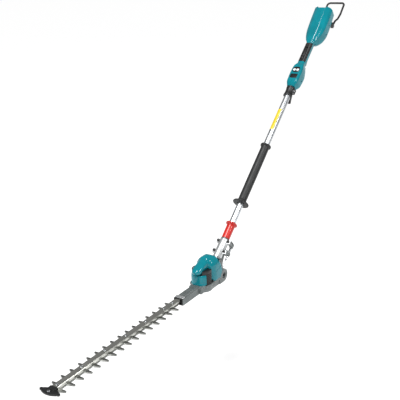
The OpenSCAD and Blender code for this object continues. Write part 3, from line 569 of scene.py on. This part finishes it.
def make_tube():
    """The drawn tube, open from end to end, with its cut edges broken."""
    low, high = TUBE_LOW - FORE, TUBE_HIGH - FORE
    bore_r, edge_r = TUBE_R - 1.5, 0.3
    outline = [(low, bore_r), (low, TUBE_R), (high, TUBE_R), (high, bore_r)]
    stand_for(turned("aluminium_tube", outline, on_pole, edge_r), "pole_tube")


def make_front_grip():
    """Soft sleeve with a wide flange against the clamp side and a lower one above."""
    half, r = 132.0, 15.5
    flange, lip, edge_r = 14.5, 5, 2.5
    outline = [(-half, TUBE_R), (-half, r + flange - 2), (-half + 1, r + flange), (-half + 4, r + flange),
               (-half + 7, r + 3), (-half + 17, r), (0, r + 0.3), (half - 13, r), (half - 9, r + 1.2),
               (half - 6, r + lip), (half - 1.5, r + lip), (half, r + 3), (half, TUBE_R)]
    stand_for(turned("front_grip_sleeve", outline, on_pole, edge_r), "front_grip")


def make_release_sleeve():
    """The red sleeve: a plain barrel, a waist and a raised collar for the fingers."""
    low, length, bore_r, collar_r, edge_r = 122.0 - FORE, 64.0, TUBE_R + 0.3, 21, 1.6
    high = low + length
    outline = [(low, bore_r), (low, 14.6), (high - 14, 14.8), (high - 8, 15.8), (high - 5, collar_r),
               (high - 1.2, collar_r), (high, collar_r - 1.5), (high, bore_r)]
    stand_for(turned("release_sleeve", outline, on_pole, edge_r), "red_sleeve")


def make_lock_spring():
    """The coil round the lock rod, beside the shaft and above the pivot bolt."""
    turns, coil_r, length, wire_r = 6.0, 4.6, 20, 0.7
    across, along = 18, 85.5
    wire = grow("lock_spring", COIL, {"Turns": turns, "Coil Radius": coil_r * MM,
                                      "Height": length * MM, "Wire Radius": wire_r * MM,
                                      "Finish": STEEL})
    wire.data.transform(Matrix.Rotation(-math.pi / 2, 4, "X"))
    wire.data.transform(Matrix.Translation((across * MM, along * MM, 0)))
    wire.data.transform(Matrix.Rotation(TILT, 4, "X"))
    wire.data.transform(Matrix.Translation(PIVOT))
    stand_for(wire, "release_spring")


make_tube()
make_front_grip()
make_release_sleeve()
make_lock_spring()
for part, width in {"clamp_upper": 1.0, "clamp_arm": 1.2, "hanger_clamp": 0.8, "release_link": 0.4,
                    "clamp_screws": 0.35, "pivot_bolt": 0.5, "pivot_nut": 0.5}.items():
    ease_edges(part, width)


# ---------------------------------------------------------------- rear handle
# Cross-sections of the handle: station along the shaft, half width, top, bottom, half width of the flat
# top, half width and drop of the shoulder, drop of the side's upper edge, rise of its lower edge and
# half width of the flat bottom
HANDLE_ROWS = [
    (415, 16.0, 15.0, -16.0, 10.0, 13.6, 2.2, 6.0, 6.0, 10.0),
    (440, 23.0, 21.0, -30.0, 16.4, 20.4, 2.2, 7.0, 8.0, 15.0),
    (480, 24.0, 21.0, -33.0, 17.4, 21.4, 2.2, 7.0, 8.0, 16.0),
    (512, 21.0, 21.0, -25.0, 15.6, 18.8, 2.2, 7.0, 7.0, 14.0),
    (540, 14.5, 13.0, -15.0, 8.8, 12.4, 2.0, 6.0, 6.0, 8.5),
    (644, 14.5, 13.0, -15.0, 8.8, 12.4, 2.0, 6.0, 6.0, 8.5),
    (662, 23.0, 17.0, -29.0, 11.0, 18.5, 3.6, 9.0, 8.0, 15.0),
    (690, 33.0, 20.5, -42.0, 13.5, 26.5, 6.5, 15.0, 11.0, 22.0),
    (720, 38.0, 25.0, -46.0, 15.5, 31.0, 9.0, 19.0, 13.0, 26.0),
    (770, 40.0, 30.0, -40.0, 16.5, 33.5, 10.5, 21.5, 14.0, 26.0),
    (825, 39.0, 34.0, -32.0, 16.5, 33.5, 10.0, 21.0, 14.0, 25.0),
]
HANDLE_LOW, HANDLE_HIGH = HANDLE_ROWS[0][0], HANDLE_ROWS[-1][0]
# The wall of the shells, and the stretch that the hand holds
HANDLE_WALL = 2.5
GRIP_LOW, GRIP_HIGH = 543, 641
# Middle of the two keys along the shaft, and their distance to each side
KEYS_AT, KEY_X = 490, 6.8

# Shell screws: depth of the head's seat from X = 0, and the place along and above the shaft
SHELL_SCREWS = [(19, 460, -12), (14, 525, -12), (13, 650, -9), (32, 720, -22), (35, 762, -12)]


def handle_ring(at, inset):
    """The handle's outline at a station, drawn in by inset from its outer skin."""
    w, top, bottom, flat, shoulder, drop, side, rise, base = eased(HANDLE_ROWS, at)
    right = [(flat, top), (shoulder, top - drop), (w, top - side), (w, bottom + rise), (base, bottom)]
    outline = []
    for x, z in right + [(-x, z) for x, z in reversed(right)]:
        outline.append((x - math.copysign(min(inset, abs(x)), x), z - inset if z > 0 else z + inset))
    return [on_pole((p.x, at, p.y)) for p in round_corners(outline, 2.4 - inset * 0.4, 4)]


def handle_solid(low, high, inset=0.0, pitch=5.0):
    """The handle between two stations, drawn in by inset."""
    count = round((high - low) / pitch)
    return skin("handle", [handle_ring(low + (high - low) * i / count, inset) for i in range(count + 1)])


def make_handle_shells():
    """Two mouldings split along the middle; the right one carries the screws' seats."""
    whole = handle_solid(HANDLE_LOW, HANDLE_HIGH)
    # rooms that the two shells leave: the controls, the switch, the electronics and the battery bay
    bay = [(-30, -21), (30, -21), (30, 15), (20, 23), (-20, 23), (-30, 15)]
    carve(whole,
          handle_solid(418.5, 539, HANDLE_WALL),
          handle_solid(GRIP_LOW, GRIP_HIGH, HANDLE_WALL),
          handle_solid(646, 776, HANDLE_WALL),
          # the wires' way from the controls, through the hand grip, to the electronics
          block(on_pole, (-9, 9), (538, 648), (-11, 9)),
          # the battery's way in, the notch at its mouth and the window for its terminals
          skin("bay", [[on_pole((p.x, y, p.y)) for p in round_corners(bay, 4, 4)]
                       for y in (780, 840)]),
          block(on_pole, (-19, 19), (818, 840), (0, 50)),
          block(on_pole, (-16, 16), (770, 781), (-12, 10)),
          # the shaft's socket, and the seats of the two panels, the keys and the soft grip
          bar(on_pole, (0, 0), TUBE_R, 400, 430, 1),
          slab("panel seat", on_pole, (-15, 15), (478, 506), (19.5, 30), 12),
          slab("display seat", on_pole, (-15, 15), (449, 470), (19.5, 30), 4),
          slab("key room", on_pole, (-13.5, 13.5), (481, 499), (10, 30), 8),
          block(on_pole, (-20, 20), (GRIP_LOW, GRIP_HIGH), (5, 20)),
          slab("trigger slot", on_pole, (-7, 7), (545, 604), (-40, 0), 5))
    boss_r, screw_r, head_r, hairline = 3.9, 1.8, 3.4, 0.2
    for side, name in ((-1, "handle_shell_left"), (1, "handle_shell_right")):
        half = link(name + "_moulding", whole.data.copy())
        near, far = sorted((hairline / 2 * side, 90.0 * side))
        join_solid(half, block(on_pole, (near, far), (380, 900), (-90, 90)), "INTERSECT")
        for seat, y, z in SHELL_SCREWS if side > 0 else []:
            join_solid(half, bar(on_pole, (y, z), boss_r, seat - 6, seat + 0.4, 0, 32), "UNION")
            carve(half, bar(on_pole, (y, z), screw_r, seat - 5, seat + 1, 0, 24),
                  bar(on_pole, (y, z), head_r, seat, seat + 12, 0, 32))
        face_outwards(half.data)
        stand_for(smooth(half, 32), name)
    bpy.data.objects.remove(whole)


def make_overmould():
    """Soft grip inlay: rounded along its upper corners, slotted for the lock-off lever."""
    w, low, high = 15.1, GRIP_LOW + 0.3, GRIP_HIGH - 0.3
    outline = [(-w, 5.2), (w, 5.2), (w, 8.5), (9, 14), (-9, 14), (-w, 8.5)]
    body = skin("overmould", [[on_pole((p.x, y, p.y)) for p in round_corners(outline, 4, 5)]
                              for y in (low, low + 0.7, high - 0.7, high)])
    carve(body, block(on_pole, (-11.5, 11.5), (540, 645), (0, 10.5)),
          slab("slot", on_pole, (-5.2, 5.2), (551.5, 618.5), (0, 20), 5))
    stand_for(smooth(body, 40), "grip_overmould")


def make_panels():
    """The oval panel with its two key holes, and the smaller display window below it."""
    width, seat, key_r = (-14.8, 14.8), 19.7, 5.8
    panel = slab("control_panel_oval", on_pole, width, (478.2, 505.8), (seat, 21.6), 11.8, 0.5)
    for x in (-KEY_X, KEY_X):
        carve(panel, bar(on_pole, (x, KEYS_AT), key_r, 10, 30, 2))
    stand_for(smooth(panel), "control_panel")
    window = slab("display_window", on_pole, width, (449.2, 469.8), (seat, 21.2), 3.8, 0.4)
    stand_for(smooth(window), "display_panel")


def make_guard():
    """Bent wire that shields the battery bay: two legs and a crossbar, one piece of 8 mm wire."""
    leg = [(788, -42), (822, -47), (848, -60), (881, -66), (942, -62)]
    reach = 37
    path = [(-reach, y, z) for y, z in leg] + [(reach, y, z) for y, z in reversed(leg)]
    wire = grow("battery_guard", BENT_WIRE,
                {"Wire Radius": 4.0 * MM, "Bend Radius": 12 * MM, "Finish": POWDER_COAT},
                [on_pole(p) for p in path], [(i, i + 1) for i in range(len(path) - 1)])
    stand_for(wire, "wire_guard")


make_handle_shells()
make_overmould()
make_panels()
make_guard()
for part, width in {"trigger": 1.6, "lock_off_lever": 1.2, "power_button": 0.7, "reverse_button": 0.7,
                    "guard_clamps": 0.8, "shell_screws": 0.3, "battery_rails": 0.4}.items():
    ease_edges(part, width, 3)


# ---------------------------------------------------------------- motor housing
# Upright body: height, half width, front and back; then the snout over the gears:
# station, top, underside, half width. All from the pivot bolt
BODY_ROWS = [
    (2, 37.0, -76.0, -8.0), (24, 37.0, -76.0, -8.0), (36, 37.0, -76.0, -10.0), (50, 36.6, -75.5, -16.0),
    (58, 35.6, -75.0, -21.0), (66, 32.5, -74.5, -23.0), (74, 26.5, -74.0, -26.0), (80, 19.5, -72.0, -30.0),
    (84, 13.0, -68.0, -36.0), (87, 6.0, -60.0, -42.0), (88, 1.5, -54.0, -47.0),
]
SNOUT_ROWS = [
    (-50, 84.0, 44.0, 17.0), (-76, 80.0, 41.0, 18.0), (-96, 72.5, 40.0, 18.0), (-112, 66.5, 40.0, 17.5),
    (-122, 62.0, 41.0, 15.5), (-128, 58.5, 43.0, 12.0), (-131.5, 55.0, 46.0, 7.5),
    (-133, 52.0, 49.0, 2.5),
]
# The motor's upright axis and the gears' upright axis, forward of the pivot bolt
MOTOR_AT, GEARS_AT = -49, -85


def oval(half_a, half_b, power, sides=64):
    """Points of a rounded rectangle; the higher the power, the squarer it is."""
    ring = []
    for k in range(sides):
        a = 2 * math.pi * k / sides
        ring.append((half_a * math.copysign(abs(math.cos(a)) ** (2 / power), math.cos(a)),
                     half_b * math.copysign(abs(math.sin(a)) ** (2 / power), math.sin(a))))
    return ring


def make_motor_housing():
    """The teal hood: an upright body, a snout over the gears, and the rooms for motor and screws."""
    rings = []
    for z, half, front, back in BODY_ROWS:
        deep = back - front
        right = [(half, back), (half, front + 0.32 * deep), (0.84 * half, front + 0.1 * deep),
                 (0.58 * half, front)]
        plan = right + [(-x, y) for x, y in reversed(right)]
        rings.append([on_head((p.x, p.y, z)) for p in round_corners(plan, 0.22 * half, 7)])
    body = skin("motor_housing_moulding", rings)
    rings = []
    for y, top, under, half in SNOUT_ROWS:
        middle = (top + under) / 2
        rings.append([on_head((a, y, middle + b)) for a, b in oval(half, (top - under) / 2, 2.7)])
    join_solid(body, skin("snout", rings), "UNION")
    # one even skin of 1.2 mm cells lets the snout flow into the body with a soft fillet
    remesh = body.modifiers.new("skin", "REMESH")
    remesh.mode, remesh.voxel_size = "VOXEL", 1.2 * MM
    soften = body.modifiers.new("fillet", "SMOOTH")
    soften.factor, soften.iterations = 0.5, 10
    settle(body)
    carve(body,
          # the foot trimmed flat, and clear of the clamp arm and its hub
          block(on_head, (-60, 60), (-140, 20), (-20, 2.05)),
          block(on_head, (-22, 22), (-22.5, 5), (-5, 110)),
          bar(on_head, (0, 0), 23.2, -50, 50, 0),
          # rooms for the fan, the motor and its upper bearing, then the air's way out
          bar(on_head, (0, MOTOR_AT), 27.0, -1, 16.5, 2),
          bar(on_head, (0, MOTOR_AT), 27.5, 15, 62, 2),
          bar(on_head, (0, MOTOR_AT), 11.0, 61, 71, 2),
          block(on_head, (-26, 26), (-79, -30), (-1, 16)))
    # a moulded groove slopes down each side, 1.2 mm wide and 0.9 mm deep
    slope = 0.25
    for side in ((36.1, 40), (-40, -36.1)):
        carve(body, block(lambda p: on_head((p[0], p[1], p[2] + slope * p[1])), side, (-64, -9),
                      (47, 48.2)))
    screw_r, head_r = 1.9, 3.4
    for x, y in ((-33, -70), (33, -70), (-31, -30), (31, -30)):
        carve(body, bar(on_head, (x, y), screw_r, -1, 10, 2, 24),
              bar(on_head, (x, y), head_r, 6, 96, 2, 32))
    face_outwards(body.data)
    stand_for(smooth(body, 38), "motor_housing")


def make_lower_cover():
    """The round teal wall in front of the gears: a thick foot, a step, and a rolled-in upper edge."""
    rows = [(2.0, 37.4), (8.0, 37.6), (8.8, 36.4), (26.0, 37.0), (32.0, 36.5), (36.0, 35.6),
            (38.0, 34.8), (38.6, 34.2)]
    inner, first, sweep, steps = 34.1, -146, 112, 48
    profile = [(inner, rows[0][0])] + [(r, z) for z, r in rows] + [(inner, rows[-1][0])]
    rings = []
    for k in range(steps + 1):
        a = math.radians(first + sweep * k / steps)
        rings.append([on_head((r * math.cos(a), GEARS_AT + r * math.sin(a), z)) for r, z in profile])
    stand_for(smooth(skin("lower_cover_moulding", rings), 50), "lower_cover")


make_motor_housing()
make_lower_cover()
for part, width in {"gear_case": 1.0, "nose_cap": 0.6, "nose_seal": 0.6,
                    "vent_frame": 0.4, "housing_screws": 0.3, "lock_ring": 0.4,
                    "tip_guard": 1.1, "tip_screws": 0.4, "guide_bar": 0.4, "guide_bolts": 0.4,
                    "guide_nuts": 0.3}.items():
    ease_edges(part, width)
# the teeth's ground edges: one flat facet of 0.7 mm
for part in ("upper_blade", "lower_blade"):
    ease_edges(part, 0.7, 1)


# ---------------------------------------------------------------- studio
def make_floor():
    """Pale paper a forearm's length below the blades, so that shadows on it are broad and faint."""
    level, reach = cad_box[0][2] - 0.35, 60.0
    floor = link("studio_floor", bpy.data.meshes.new("studio_floor"))
    floor.data.from_pydata([(-reach, -reach, level), (reach, -reach, level), (reach, reach, level),
                            (-reach, reach, level)], [], [(0, 1, 2, 3)])
    made, tree = blank_finish("Pale studio paper")
    shader = add(tree, "ShaderNodeBsdfPrincipled", {},
                 {"Base Color": linear("#f8f8f8"), "Roughness": 0.9, "Specular IOR Level": 0.1})
    add(tree, "ShaderNodeOutputMaterial", {}, {}, {"Surface": shader.outputs["BSDF"]})
    floor.data.materials.append(made)


def make_sky():
    """White backdrop, whose light on the object is held down so that the softboxes can shape it."""
    world = bpy.data.worlds.new("Studio sky")
    world.use_nodes = True
    tree = world.node_tree
    tree.nodes.clear()
    ray = add(tree, "ShaderNodeLightPath")
    level = add(tree, "ShaderNodeMapRange", {}, {"To Min": 0.28, "To Max": 1.0},
                {"Value": ray.outputs["Is Camera Ray"]})
    sky = add(tree, "ShaderNodeBackground", {}, {"Color": linear("#ffffff")},
              {"Strength": level.outputs["Result"]})
    add(tree, "ShaderNodeOutputWorld", {}, {}, {"Surface": sky.outputs["Background"]})
    bpy.context.scene.world = world


def hang_light(name, kind, place, aim, power, **shape):
    """A lamp at a place, turned to face a point."""
    lamp = bpy.data.lights.new(name, kind)
    lamp.energy = power
    for key, value in shape.items():
        setattr(lamp, key, value)
    made = bpy.data.objects.new(name, lamp)
    made.location = place
    made.rotation_euler = (Vector(aim) - Vector(place)).to_track_quat("-Z", "Y").to_euler()
    bpy.context.scene.collection.objects.link(made)


def make_studio():
    """Floor, sky, and three lamps: broad light from above, a strip on the right, fill in front."""
    make_floor()
    make_sky()
    hang_light("overhead_silk", "SUN", (0.0, -0.75, 2.0), (0, 0, 0), 2.7, angle=0.4)
    hang_light("right_softbox", "AREA", (2.12, 0.03, 1.74), (0, 0.3, 0.1), 30,
               shape="RECTANGLE", size=0.16, size_y=1.4)
    hang_light("front_softbox", "AREA", (-0.6, -2.6, 1.9), (0, -0.3, -0.2), 40,
               shape="RECTANGLE", size=1.4, size_y=0.5)
    bpy.context.scene.view_settings.view_transform = "Standard"


def make_camera():
    """A long lens, high on the right and in front of the blades."""
    sensor_mm, lens_mm = 36.0, 65.83
    camera = bpy.data.objects.new("camera", bpy.data.cameras.new("camera"))
    camera.data.sensor_width, camera.data.lens = sensor_mm, lens_mm
    camera.data.clip_end = 100
    place = (1.21662, -2.28120, 0.75830)
    right, up, back = (0.84848, 0.52829, -0.03131), (-0.14066, 0.28215, 0.94900), (
        0.51019, -0.80081, 0.31371)
    turn = Matrix((right, up, back)).transposed().to_4x4()
    camera.matrix_world = Matrix.Translation(place) @ turn
    bpy.context.scene.collection.objects.link(camera)
    bpy.context.scene.camera = camera


make_studio()
make_camera()
